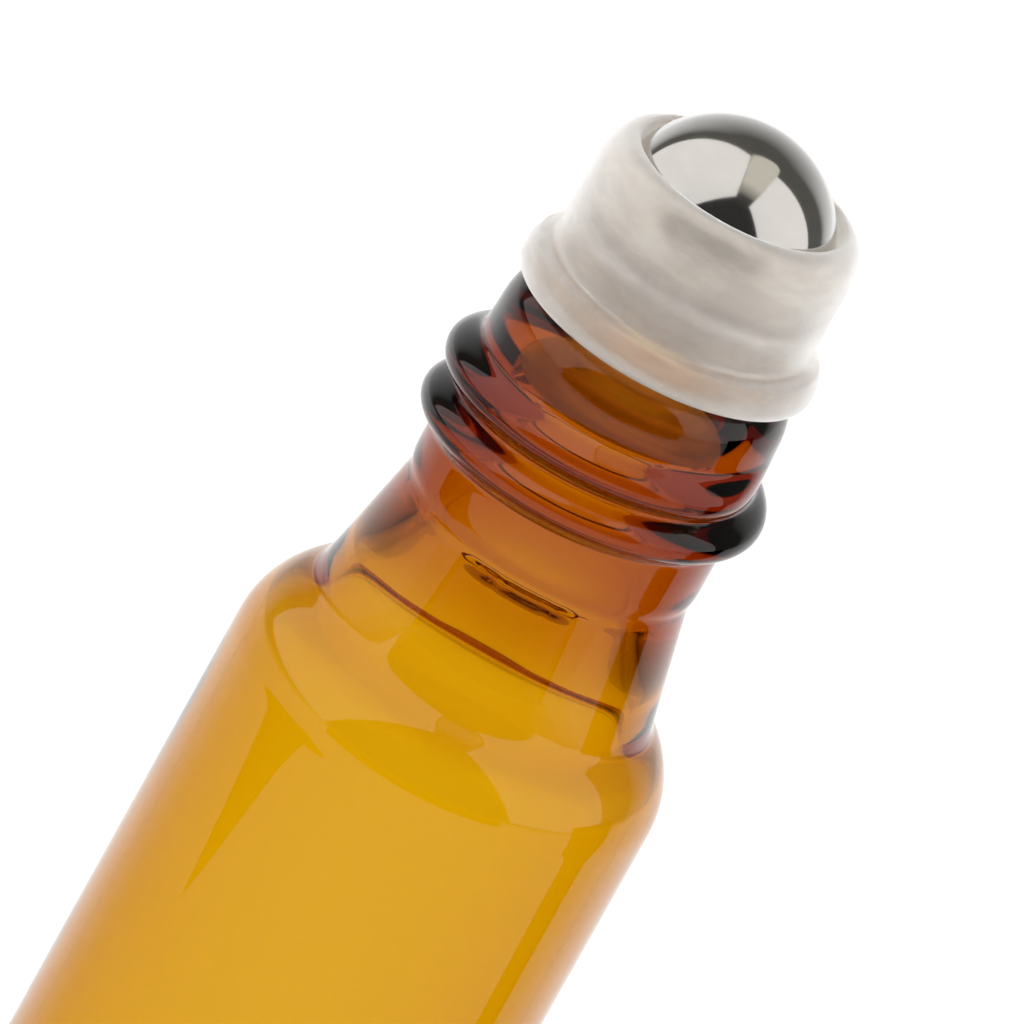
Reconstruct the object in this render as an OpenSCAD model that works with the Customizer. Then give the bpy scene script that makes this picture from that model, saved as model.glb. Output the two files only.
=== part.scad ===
// Roll-on bottle: a glass bottle with a cap thread, a ball housing pressed into its neck,
// and a steel ball that the housing's mouth holds.
// Millimetres. The bottle stands on z = 0 and the Z axis is its axis.

/* [Glass body] */
// Outer diameter of the body
body_d = 19.8; // [18.6:0.1:23]
// Height of the glass from what it stands on to the lip
bottle_h = 72; // [50:0.5:100]
// Thickness of the side wall
body_wall = 0.85; // [0.7:0.05:1.6]
// Thickness of the glass in the middle of the floor
floor_t = 1.6; // [1:0.1:5]
// Radius of the rounded heel
heel_r = 1.9; // [0.8:0.1:2.6]
// Depth of the dome under the base
push_up_h = 1.2; // [0.4:0.1:2.2]
// Width of the flat ring that the bottle stands on
rest_w = 1.8; // [0.8:0.1:3]
// Radius inside, where the side wall meets the floor
floor_corner_r = 2.2; // [1:0.1:4]

/* [Shoulder and neck] */
// Depth below the lip at which the straight side of the body begins
shoulder_drop = 20.5; // [19.6:0.1:26]
// Depth below the lip of the crease between the shoulder and the flared neck
crease_drop = 16.8; // [16.2:0.1:18]
// Diameter of the crease
crease_d = 15.9; // [15.5:0.1:17.6]
// Depth below the lip at which the neck cone turns into the flare
flare_drop = 14.6; // [12.6:0.1:15.6]
// Diameter there
flare_d = 14.9; // [14.2:0.1:15.6]
// Depth below the lip of the waist under the thread
waist_drop = 10.4; // [9.8:0.1:11.4]
// Diameter of the waist
waist_d = 13.16; // [12.4:0.02:13.4]
// Height of the step from the thread's wall in to the waist
waist_step_h = 0.7; // [0.3:0.1:1]

/* [Lip and thread] */
// Diameter of the lip
lip_d = 13.3; // [12.9:0.1:13.5]
// Width of the rounding on the outside of the lip
lip_round_w = 1.35; // [0.8:0.05:1.45]
// Height of the rounding on the outside of the lip
lip_round_h = 2.1; // [1:0.1:2.4]
// Diameter of the bore in the neck
bore_d = 9.7; // [9.3:0.05:10]
// Rounding at the mouth of the bore
bore_round_r = 0.2; // [0.1:0.05:0.4]
// Depth below the lip to which the bore is straight
bore_drop = 10.8; // [8:0.1:11.6]
// Depth below the lip at which the bore's widening turns outwards
widen_drop = 12.5; // [11.7:0.1:12.6]
// Thickness of the wall where the neck cone turns into the flare
neck_wall = 1; // [0.8:0.05:1.6]
// How far the inner edge of the crease lies inwards of the outer crease
crease_in_w = 0.78; // [0.6:0.02:1.2]
// How far the inner edge of the crease lies below the outer crease
crease_in_h = 0.93; // [0.6:0.01:1.2]
// Diameter of the wall that carries the thread
thread_wall_d = 13.5; // [13.2:0.05:13.9]
// Outer diameter of the thread
thread_d = 15.6; // [14.6:0.1:16.2]
// Distance from one turn of the thread to the next
thread_pitch = 2.3; // [2:0.05:2.5]
// Width of the thread at its root
thread_w = 2.1; // [1.4:0.1:2.2]
// Depth below the lip at which the thread begins
thread_drop = 3.7; // [3.5:0.05:4.2]
// Turns of the thread, with its run-in and run-out
thread_turns = 1.95; // [1:0.05:2.1]

/* [Roller housing] */
// Diameter of the flange where it rests on the lip
flange_seat_d = 13.46; // [12.6:0.02:13.8]
// Diameter of the flange where it is widest
flange_d = 13.78; // [13.2:0.02:14.2]
// Height above the lip at which the flange is widest
flange_wide_h = 0.4; // [0.2:0.05:0.9]
// Diameter of the flange at its upper edge
flange_top_d = 13.2; // [12.9:0.05:13.4]
// Height of the flange's side
flange_side_h = 1.5; // [1:0.1:1.8]
// Rise from the flange's upper edge to the foot of the cup
flange_crown_h = 0.12; // [0.04:0.02:0.4]
// Width of the rounding between the crown of the flange and the cup
foot_round_w = 0.2; // [0.1:0.05:0.35]
// Height of that rounding
foot_round_h = 0.8; // [0.2:0.1:1]
// Outer diameter of the ball cup
cup_d = 12; // [11.8:0.05:12.4]
// Height of the cup's rim above the middle of the ball
rim_rise = 2.42; // [2:0.02:2.8]
// Height of the rounding on the outside of the rim
rim_round_h = 2.2; // [1.2:0.1:2.2]
// Thickness of the floor under the ball
cup_floor_t = 1; // [0.7:0.05:1.3]
// How far the mouth closes in over the ball on each side
snap_w = 0.2; // [0.1:0.01:0.3]
// Diameter of the feed hole
feed_d = 2.6; // [1.6:0.1:3.4]
// Width of the feed grooves in the seat
groove_w = 0.8; // [0.5:0.1:1.2]
// Depth of the feed grooves
groove_deep = 0.3; // [0.15:0.05:0.5]
// How far below the middle of the ball the feed grooves end
groove_drop = 2.5; // [1.5:0.1:4]
// Number of discs that cut the feed grooves, each of which cuts two
groove_pairs = 2; // [1:1:3]

/* [Plug] */
// Length of the plug below the lip
plug_l = 4; // [3.6:0.1:6]
// Wall of the plug
plug_wall = 0.95; // [0.7:0.05:1.2]
// Height of the plug's wide collar under the lip
collar_h = 1.5; // [1:0.1:2]
// Height of each sealing ring off the plug
seal_h = 0.2; // [0.1:0.02:0.3]
// Width of each sealing ring
seal_w = 0.6; // [0.4:0.05:0.8]
// Number of sealing rings
seal_count = 2; // [1:1:3]
// Bevel at the lower end of the plug
plug_bevel = 0.4; // [0.2:0.05:0.5]
// Clearance of the collar and the sealing rings in the bore
plug_clear = 0.03; // [0.02:0.01:0.08]

/* [Ball] */
// Diameter of the ball
ball_d = 10; // [9.6:0.05:10.2]
// Height of the middle of the ball above the lip
ball_rise = 5.05; // [4.9:0.05:5.6]
// Clearance round the ball in its socket
ball_clear = 0.05; // [0.03:0.01:0.1]

/* [Hidden] */
$fn = 96;

// Overrun of every cut
over = 0.5;
// Steps along a rounded stretch of an outline
arc_steps = 10;
// Steps along one turn of the thread, and across it
thread_steps = 36;
thread_sides = 10;
// How deep the thread is set into its wall, and how far its ends dip below the wall
thread_bed = 0.4;
thread_dip = 0.12;
// Parts of a turn in which the thread rises out of its wall and sinks into it again
run_in_share = 0.14;
run_out_share = 0.28;
// Squareness of the rim's rounding, where 2 is an ellipse
rim_square = 2.5;
// Squareness of the lip's rounding
lip_square = 2;
// Where the inside of the flare bends, as shares of its width and of its height
flare_bend_share = [0.53, 0.81];
// Share of the shoulder's turn along which the wall is as thin as the body's
thin_turn_share = 0.58;

// Glass
body_r = body_d / 2;
inner_r = body_r - body_wall;
floor_z = push_up_h + floor_t;
rest_r = body_r - heel_r;
dome_r = rest_r - rest_w;
dome_ball_r = (dome_r * dome_r + push_up_h * push_up_h) / (2 * push_up_h);
bore_r = bore_d / 2;
lip_r = lip_d / 2;
thread_wall_r = thread_wall_d / 2;
thread_r = thread_d / 2;
shoulder_z = bottle_h - shoulder_drop;
crease_z = bottle_h - crease_drop;
crease_r = crease_d / 2;
flare_z = bottle_h - flare_drop;
flare_r = flare_d / 2;
waist_z = bottle_h - waist_drop;
waist_r = waist_d / 2;
// The shoulder is an arc that leaves the body's side upright and ends in the crease
shoulder_rise = shoulder_drop - crease_drop;
shoulder_in = body_r - crease_r;
shoulder_turn = 2 * atan(shoulder_in / shoulder_rise);
shoulder_arc_r = shoulder_rise / sin(shoulder_turn);
shoulder_mid = [body_r - shoulder_arc_r, shoulder_z];
// The cone from the waist goes on in a line to the point that bends the flare
cone_slope = (flare_r - waist_r) / (flare_drop - waist_drop);
flare_bend_z = (flare_z + crease_z) / 2;
flare_bend_r = flare_r + cone_slope * (flare_z - flare_bend_z);
// Inside, the wall of the neck thins towards the flare, thickens at the crease and is thin on the shoulder
inner_flare = [flare_r - neck_wall, flare_z];
inner_crease = [crease_r - crease_in_w, crease_z - crease_in_h];
inner_bend = [for (i = [0, 1]) inner_flare[i] + flare_bend_share[i] * (inner_crease[i] - inner_flare[i])];
inner_arc_r = shoulder_arc_r - body_wall;

// Housing
ball_r = ball_d / 2;
ball_z = bottle_h + ball_rise;
socket_r = ball_r + ball_clear;
cup_r = cup_d / 2;
mouth_r = ball_r - snap_w;
mouth_rise = sqrt(socket_r * socket_r - mouth_r * mouth_r);
rim_z = ball_z + rim_rise;
flange_seat_r = flange_seat_d / 2;
flange_r = flange_d / 2;
flange_top_r = flange_top_d / 2;
flange_wide_z = bottle_h + flange_wide_h;
flange_side_z = bottle_h + flange_side_h;
flange_top_z = flange_side_z + flange_crown_h;
collar_r = bore_r - plug_clear;
collar_z = bottle_h - collar_h;
plug_r = collar_r - seal_h;
plug_end_z = bottle_h - plug_l;
hollow_r = plug_r - plug_wall;
hollow_ball_r = socket_r + cup_floor_t;
feed_r = feed_d / 2;
// The rings share the length of the plug between the collar and the bevel
seal_step = (collar_z - plug_end_z - plug_bevel) / seal_count;

// Points of an arc about a middle, from one angle to another
function arc(mid, r, from, to) =
    [for (i = [0:arc_steps]) let (a = from + (to - from) * i / arc_steps) mid + r * [cos(a), sin(a)]];

// Points of a curve that leaves one point towards a second and arrives at a third from it
function bend(a, b, c) =
    [for (i = [0:arc_steps]) let (t = i / arc_steps) (1 - t) * (1 - t) * a + 2 * t * (1 - t) * b + t * t * c];

// Points of a rounding from the side of a ring up to its top, about a middle
function rounding(mid, w, h, square) =
    [for (i = [0:arc_steps])
        let (a = 90 * i / arc_steps) mid + [w * pow(cos(a), 2 / square), h * pow(sin(a), 2 / square)]];

// The arc of a ball about the axis, between two distances from the axis, on its lower side
function bowl(z, r, from_r, to_r) = arc([0, z], r, -acos(from_r / r), -acos(to_r / r));

// Height of the thread off its bed, from the share of its whole length that lies behind
function thread_lift(share) =
    let (rise = min(1, share * thread_turns / run_in_share, (1 - share) * thread_turns / run_out_share))
    thread_bed - thread_dip + (thread_r - thread_wall_r + thread_dip) * pow(sin(90 * rise), 2);

// Outline of the glass, from the standing ring up the outside and down the inside
function glass_outline() = concat(
    [[dome_r, 0]],
    arc([rest_r, heel_r], heel_r, -90, 0),
    arc(shoulder_mid, shoulder_arc_r, 0, shoulder_turn),
    bend([crease_r, crease_z], [flare_bend_r, flare_bend_z], [flare_r, flare_z]),
    bend([waist_r, waist_z], [thread_wall_r, waist_z], [thread_wall_r, waist_z + waist_step_h]),
    [[thread_wall_r, bottle_h - thread_drop]],
    rounding([lip_r - lip_round_w, bottle_h - lip_round_h], lip_round_w, lip_round_h, lip_square),
    arc([bore_r + bore_round_r, bottle_h - bore_round_r], bore_round_r, 90, 180),
    bend([bore_r, bottle_h - bore_drop], [bore_r, bottle_h - widen_drop], inner_flare),
    bend(inner_flare, inner_bend, inner_crease),
    arc(shoulder_mid, inner_arc_r, thin_turn_share * shoulder_turn, 0),
    arc([inner_r - floor_corner_r, floor_z + floor_corner_r], floor_corner_r, 0, -90),
    [[0, floor_z]],
    arc([0, push_up_h - dome_ball_r], dome_ball_r, 90, acos(dome_r / dome_ball_r)));

// One turn after another, the section of the thread is half an ellipse on the bed
module thread() {
    rings = round(thread_turns * thread_steps);
    points = [for (i = [0:rings])
        let (share = i / rings, a = -360 * thread_turns * share, lift = thread_lift(share))
        let (z = bottle_h - thread_drop - thread_pitch * thread_turns * share)
        for (j = [0:thread_sides])
            let (u = 180 * j / thread_sides, r = thread_wall_r - thread_bed + lift * sin(u))
            [r * cos(a), r * sin(a), z + thread_w / 2 * cos(u)]];
    n = thread_sides + 1;
    sides = [for (i = [0:rings - 1], j = [0:thread_sides])
        let (k = (j + 1) % n) [i * n + j, i * n + k, (i + 1) * n + k, (i + 1) * n + j]];
    first_end = [for (j = [0:thread_sides]) thread_sides - j];
    last_end = [for (j = [0:thread_sides]) rings * n + j];
    polyhedron(points, concat(sides, [first_end, last_end]), convexity = 6);
}

module glass_bottle() {
    color([0.80, 0.53, 0.12, 0.6])
    union() {
        rotate_extrude() polygon(glass_outline());
        thread();
    }
}

// Outline of a sealing ring on the plug, from its lower edge to its upper edge
function seal(z) = [for (i = [0:arc_steps])
    let (u = 180 * i / arc_steps) [plug_r + seal_h * sin(u), z - seal_w / 2 * cos(u)]];

// Outline of the housing, from the feed hole through the plug, up the outside and down the socket
function housing_outline() = concat(
    bowl(ball_z, hollow_ball_r, feed_r, hollow_r),
    [[hollow_r, plug_end_z], [plug_r - plug_bevel, plug_end_z], [plug_r, plug_end_z + plug_bevel]],
    [for (i = [seal_count - 1:-1:0]) each seal(collar_z - seal_step * (i + 0.5))],
    [[plug_r, collar_z], [collar_r, collar_z + seal_h], [collar_r, bottle_h]],
    bend([flange_seat_r, bottle_h], [flange_r, (bottle_h + flange_wide_z) / 2], [flange_r, flange_wide_z]),
    bend([flange_r, flange_wide_z], [flange_r, (flange_wide_z + flange_side_z) / 2],
        [flange_top_r, flange_side_z]),
    bend([cup_r + foot_round_w, flange_top_z], [cup_r, flange_top_z], [cup_r, flange_top_z + foot_round_h]),
    rounding([mouth_r, rim_z - rim_round_h], cup_r - mouth_r, rim_round_h, rim_square),
    arc([0, ball_z], socket_r, asin(mouth_rise / socket_r), -acos(feed_r / socket_r)));

// A disc set on edge in the socket, which cuts a groove up the seat on both sides
module feed_groove() {
    low_z = ball_z - socket_r - groove_deep - over;
    intersection() {
        translate([0, 0, ball_z]) rotate([90, 0, 0])
            cylinder(r = socket_r + groove_deep, h = groove_w, center = true);
        translate([-cup_r, -groove_w, low_z])
            cube([cup_d, 2 * groove_w, ball_z - groove_drop - low_z]);
    }
}

module roller_housing() {
    color([0.90, 0.88, 0.86])
    difference() {
        rotate_extrude() polygon(housing_outline());
        for (i = [0:groove_pairs - 1]) rotate([0, 0, 180 * i / groove_pairs]) feed_groove();
    }
}

module steel_ball() {
    color([0.72, 0.73, 0.75])
    translate([0, 0, ball_z]) sphere(r = ball_r);
}

glass_bottle();
roller_housing();
steel_ball();
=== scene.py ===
"""Roll-on bottle: amber glass with a cap thread, a frosted ball housing and a polished steel ball."""

import math

import bpy
import numpy as np
from mathutils import Matrix, Vector


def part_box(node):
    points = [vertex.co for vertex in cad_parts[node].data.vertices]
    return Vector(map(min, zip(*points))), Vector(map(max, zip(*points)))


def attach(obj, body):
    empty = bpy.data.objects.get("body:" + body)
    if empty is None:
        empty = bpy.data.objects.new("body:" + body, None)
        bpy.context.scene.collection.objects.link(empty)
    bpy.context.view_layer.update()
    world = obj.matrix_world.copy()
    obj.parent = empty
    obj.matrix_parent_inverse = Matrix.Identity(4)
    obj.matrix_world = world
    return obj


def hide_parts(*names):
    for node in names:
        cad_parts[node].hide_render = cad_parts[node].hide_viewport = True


bl_info = {
    "name": "Roll-on bottle",
    "version": (1, 0, 0),
    "blender": (4, 5, 0),
    "location": "View3D > Sidebar > Roll-on",
    "description": "Makes an amber glass roll-on bottle with its housing and ball, and a plain studio",
    "category": "Object",
}

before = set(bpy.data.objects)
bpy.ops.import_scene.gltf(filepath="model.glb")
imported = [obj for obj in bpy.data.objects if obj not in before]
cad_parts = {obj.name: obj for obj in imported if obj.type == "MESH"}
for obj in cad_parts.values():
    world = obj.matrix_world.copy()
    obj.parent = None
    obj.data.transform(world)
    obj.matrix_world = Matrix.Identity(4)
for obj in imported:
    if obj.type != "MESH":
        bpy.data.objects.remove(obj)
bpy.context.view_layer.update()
GLASS_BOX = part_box("glass_bottle")
HOUSING_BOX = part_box("roller_housing")
BALL_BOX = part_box("steel_ball")

MM = 0.001

# The studio's layout. Each panel has a corner, the ways of its two sides, and their lengths.
# Corners and lengths count in panel distances from the middle of the lip.
PANELS = {
    "left_panel": ((-0.176, 0.596, 1.835), (0.089, -0.99, -0.105), (-0.524, 0.043, -0.851), 1.571, 2.0),
    "right_panel": ((0.425, 0.347, 1.27), (-0.034, -0.999, 0.033), (0.501, -0.045, -0.864), 1.162, 1.5),
}
# The corners of the card between the panels, its height, and where it fades to dark.
CEILING_CARD = (
    (-0.09, 0.422),
    (0.016, 0.491),
    (0.158, 0.543),
    (0.281, 0.566),
    (0.36, 0.506),
    (0.38, 0.327),
    (0.354, -0.02),
    (0.324, -0.297),
    (0.319, -0.499),
    (-0.022, -0.527),
    (-0.042, -0.26),
    (-0.077, 0.11),
)
CEILING_CARD_Z = 1.1
CARD_FADE = (-0.56, -0.2)
# Black cards just over the floor, in millimetres. They keep the pale floor out of the glass there.
BLACK_CARDS = {
    "right_card": (
        (80, 5), (111.4, 5.4), (119, 4.2), (126.6, 3.9), (134, 3), (156.6, -8.4), (899, -39),
        (834, 337), (149, 46), (120.1, 33.6), (113.1, 31.2), (106, 28.7), (80, 22),
    ),
    "left_card": (
        (-99, -31), (-111, -26), (-119, -22), (-129, -13), (-156, 6), (-165, 0), (-162, -40), (-148, -62),
        (-127, -86), (-87, -99), (-105, -75), (-107, -61), (-104, -48), (-102, -41),
    ),
    "front_card": ((-330, -300), (-2900, -2600), (2900, -2600), (330, -300)),
}
# A dark gap that stands at the end of the right card, with its height.
GAP_CARD = ((899, -39), (834, 337))
GAP_H = 120 * MM
CARD_LIFT = 0.5 * MM

# Mesh steps around the glass, around the housing and the ball, and from pole to pole of the ball.
GLASS_AROUND = 220
SMALL_AROUND = 256
BALL_RISE = 129
# Mesh steps along the glass where it is straight, elsewhere outside and inside, under the thread and at
# the ridge, and along the housing.
LONG_STEP = 1.1 * MM
OUTSIDE_STEP = 0.25 * MM
INSIDE_STEP = 0.3 * MM
THREAD_STEP = 0.085 * MM
RIDGE_STEP = 0.1 * MM
HOUSING_STEP = 0.12 * MM
# The step in which an outline is measured out, and the radius that counts as on the axis.
FINE_STEP = 0.02 * MM
ON_AXIS = 1e-7
# Height from which the inner wall is straight, and the depths below the lip that the ridge lies between.
INSIDE_STRAIGHT_Z = 7 * MM
RIDGE_BELT = (10 * MM, 13 * MM)

BODY_R = GLASS_BOX[1][0]
LIP_Z = GLASS_BOX[1][2]
BALL_R = (BALL_BOX[1][0] - BALL_BOX[0][0]) / 2
BALL_Z = (BALL_BOX[1][2] + BALL_BOX[0][2]) / 2
RIM_Z = HOUSING_BOX[1][2]
PLUG_END_Z = HOUSING_BOX[0][2]
SEAL_RINGS = 2

# The ridge inside the neck: its noise and where that is cut, the places in front, in bore radii, between
# which it grows to its full height, and its least height as a part of that.
RIDGE_NOISE = {"W": 1.3, "Scale": 520.0, "Detail": 3.0, "Roughness": 0.7}
RIDGE_CUT = (0.36, 0.6)
RIDGE_FRONT = (-0.87, -0.985)
RIDGE_LEAST = 0.12
# The waviness of the glass: its noise, the value of it that moves nothing, how much calmer the outside is,
# and the heights between which it sets in over the flat base.
WAVE_NOISE = {"W": 3.7, "Scale": 170.0, "Detail": 1.0}
WAVE_LEVEL = 0.75
OUTSIDE_CALM = 0.85
WAVE_SETS_IN = (2 * MM, 6 * MM)
# How often the thread's height is evened out, and the width of the slope at a groove's edge.
THREAD_BLURS = 6
GROOVE_EDGE = 0.06 * MM

# The noises of the handling marks, the space that each is stretched in, and the share of the fine clouds.
SMUDGE_NOISE = {"Detail": 4.0, "Roughness": 0.6, "Distortion": 0.8}
SMUDGE_CUT = (0.42, 0.7)
SCRATCH_NOISE = {"Detail": 3.0, "Roughness": 0.7}
SCRATCH_SPACE = {"Scale": (1.0, 1.0, 0.16), "Rotation": (0.5, 0.3, 0.9)}
CLOUD_NOISE = {"Scale": 230.0, "Detail": 4.0, "Roughness": 0.55, "Distortion": 0.7}
CLOUD_SPACE = {"Scale": (1.0, 1.0, 2.2), "Location": (0.013, 0.004, 0.009)}
FINE_CLOUD_NOISE = {"Scale": 800.0, "Detail": 3.0, "Roughness": 0.6}
FINE_CLOUD_SPACE = {"Scale": (1.0, 1.0, 2.8), "Rotation": (0.3, 0.4, 0.2)}
FINE_CLOUDS = 0.35
# Where the plastic's clouds are cut, how dark they are, and its roughness between and in the smudges.
CLOUD_CUT = (0.38, 0.63)
CLOUD_TONE = 0.82
PLASTIC_ROUGH = (0.3, 0.42)
# Roughness of the glass in a smudge, the steel's paler and darker tone, and how much rougher its smudges are.
GLASS_SMUDGE = 0.035
STEEL_TONES = (1.1, 0.88)
STEEL_SMUDGE = 2.2

# Where the studio changes: how far a direction points back from the bottle, and for FILL_TOP how far up.
SWEEP_SIDES = (-0.72, -0.62)
SWEEP_BACK = (0.5, 0.9)
STUDIO_FRONT = (-0.6, -0.3)
FILL_FRONT = (-0.75, -0.2)
FILL_TOP = (0.2, 0.8)
# The angle below level, in radians, from which the sweep fades, and the power by which it does.
SWEEP_BELOW = 0.1
SWEEP_POWER = 0.8
# Brightness to which the card between the panels fades.
CARD_DARK = 0.1


def length(name, about, millimetres):
    """A size property in metres, with its default given in millimetres."""
    return bpy.props.FloatProperty(
        name=name, description=about, default=millimetres * MM, min=0, unit="LENGTH", precision=5
    )


def share(name, about, value, most=1.0):
    """A plain number property."""
    return bpy.props.FloatProperty(name=name, description=about, default=value, min=0, max=most)


def colour(name, about, value):
    """A linear colour property."""
    return bpy.props.FloatVectorProperty(
        name=name, description=about, default=value, size=3, min=0, max=4, subtype="COLOR"
    )


def angle(name, about, degrees):
    """An angle property, with its default given in degrees."""
    return bpy.props.FloatProperty(
        name=name, description=about, default=math.radians(degrees), subtype="ANGLE"
    )


class GlassSizes(bpy.types.PropertyGroup):
    """Sizes and tint of the bottle. Drops are depths below the lip."""

    wall: length("Side wall", "Thickness of the body's side wall", 0.85)
    floor: length("Floor", "Thickness of the glass in the middle of the floor", 1.6)
    heel_r: length("Heel", "Radius of the rounded heel", 1.9)
    push_up: length("Push-up", "Depth of the dome under the base", 1.2)
    rest_w: length("Standing ring", "Width of the ring that the bottle stands on", 1.8)
    floor_corner: length("Floor corner", "Radius inside, between wall and floor", 2.2)
    shoulder_drop: length("Shoulder drop", "Where the straight side begins", 20.5)
    crease_drop: length("Crease drop", "Where the shoulder meets the flared neck", 16.8)
    crease_r: length("Crease radius", "Radius of that crease", 7.95)
    flare_drop: length("Flare drop", "Where the neck cone turns into the flare", 14.6)
    flare_r: length("Flare radius", "Radius there", 7.45)
    waist_drop: length("Waist drop", "Where the waist under the thread lies", 10.4)
    waist_r: length("Waist radius", "Radius of the waist", 6.58)
    waist_step: length("Waist step", "Height of the step above the waist", 0.7)
    lip_r: length("Lip radius", "Radius of the lip", 6.65)
    lip_round_w: length("Lip rounding width", "Width of the lip's outer rounding", 1.35)
    lip_round_h: length("Lip rounding height", "Height of the lip's outer rounding", 2.1)
    bore_r: length("Bore radius", "Radius of the bore in the neck", 4.85)
    bore_round: length("Bore rounding", "Rounding at the mouth of the bore", 0.2)
    bore_drop: length("Bore drop", "Depth to which the bore is straight", 10.8)
    widen_drop: length("Widening drop", "Where the bore's widening turns outwards", 12.5)
    neck_wall: length("Neck wall", "Thickness where the neck cone turns into the flare", 1.0)
    crease_in_w: length("Crease in", "How far the inner edge of the crease lies inwards of the crease", 0.78)
    crease_in_h: length("Crease below", "How far that edge lies below the crease", 0.93)
    flare_bend_w: share("Flare bend across", "Where the inside of the flare bends, across", 0.53)
    flare_bend_h: share("Flare bend down", "Where the inside of the flare bends, downwards", 0.81)
    thin_turn: share("Thin turn", "Part of the shoulder along which the wall is thin", 0.58)
    soften_in: length("Softening inside", "How far the inside is rounded", 0.48)
    ridge_drop: length("Ridge drop", "Depth of the uneven ridge inside the neck", 11.6)
    ridge_w: length("Ridge width", "How far the ridge fades up and down", 0.24)
    ridge_h: length("Ridge height", "How far the ridge stands in at most", 0.45)
    thread_wall_r: length("Thread wall radius", "Radius of the wall under the thread", 6.75)
    thread_r: length("Thread radius", "Radius over the thread", 7.8)
    thread_pitch: length("Thread pitch", "Distance from turn to turn", 2.3)
    thread_w: length("Thread width", "Width of the thread at its root", 2.2)
    thread_full: share("Thread fullness", "How full the thread's section is: 2 is a parabola", 2.3, 6)
    thread_drop: length("Thread drop", "Depth at which the thread begins", 3.7)
    thread_turns: share("Thread turns", "Turns with run-in and run-out", 1.95, 4)
    run_in: share("Run-in", "Part of a turn in which the thread rises", 0.14)
    run_out: share("Run-out", "Part of a turn in which the thread sinks", 0.28)
    soften: length("Softening", "How far the mould's corners are rounded", 0.22)
    wave: length("Waviness", "Unevenness of the inner wall", 0.05)
    tint: colour("Tint", "Colour that the glass lets through", (0.9375, 0.841, 0.0))
    depth: share("Tint density", "Absorption per metre of glass", 4000, 9000)


class HousingSizes(bpy.types.PropertyGroup):
    """Sizes and colour of the roller housing."""

    flange_seat_r: length("Flange radius", "Radius of the flange at the lip", 6.73)
    flange_r: length("Flange radius, widest", "Radius of the flange where it is widest", 6.89)
    flange_wide: length("Flange widest at", "Height above the lip at which it is widest", 0.4)
    flange_top_r: length("Flange radius, top", "Radius of the flange at its upper edge", 6.6)
    flange_side: length("Flange side", "Height of the flange's side", 1.5)
    flange_crown: length("Flange crown", "Rise from the flange's upper edge to the cup", 0.12)
    foot_round_w: length("Foot rounding width", "Width of the rounding at the foot of the cup", 0.2)
    foot_round_h: length("Foot rounding height", "Height of that rounding", 0.8)
    cup_r: length("Cup radius", "Outer radius of the ball cup", 6.0)
    rim_round: length("Rim rounding", "Height of the rim's outer rounding", 2.2)
    floor: length("Cup floor", "Thickness of the floor under the ball", 1.0)
    snap: length("Snap", "How far the mouth closes in over the ball", 0.2)
    feed_r: length("Feed hole", "Radius of the feed hole", 1.3)
    groove_w: length("Groove width", "Width of the feed grooves", 0.8)
    groove_deep: length("Groove depth", "Depth of the feed grooves", 0.3)
    groove_drop: length("Groove drop", "Where the grooves end below the ball's middle", 2.5)
    clear: length("Ball clearance", "Clearance round the ball", 0.05)
    plug_r: length("Plug radius", "Radius of the plug between its rings", 4.62)
    plug_wall: length("Plug wall", "Wall of the plug", 0.95)
    collar_h: length("Collar height", "Height of the plug's wide collar under the lip", 1.5)
    seal_h: length("Ring height", "Height of the collar and each sealing ring off the plug", 0.2)
    seal_w: length("Ring width", "Width of each sealing ring", 0.6)
    bevel: length("Plug bevel", "Bevel at the plug's lower end", 0.4)
    soften: length("Softening", "How far the corners are rounded", 0.06)
    tone: colour("Plastic", "Colour of the frosted plastic", (0.98, 0.93, 0.875))
    clear_share: share("Clearness", "Part of the light that goes through without scattering", 0.78)
    scatter: length("Scattering", "How far light goes between scatterings", 1.0)
    bloom: share("Bloom", "Paleness of the frosted surface seen at a slant", 1.0)


class BallLook(bpy.types.PropertyGroup):
    """Finish of the steel ball."""

    tone: colour("Steel", "Colour of the polished steel", (0.70, 0.69, 0.67))
    rough: share("Roughness", "Roughness of the polish", 0.08)


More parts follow.
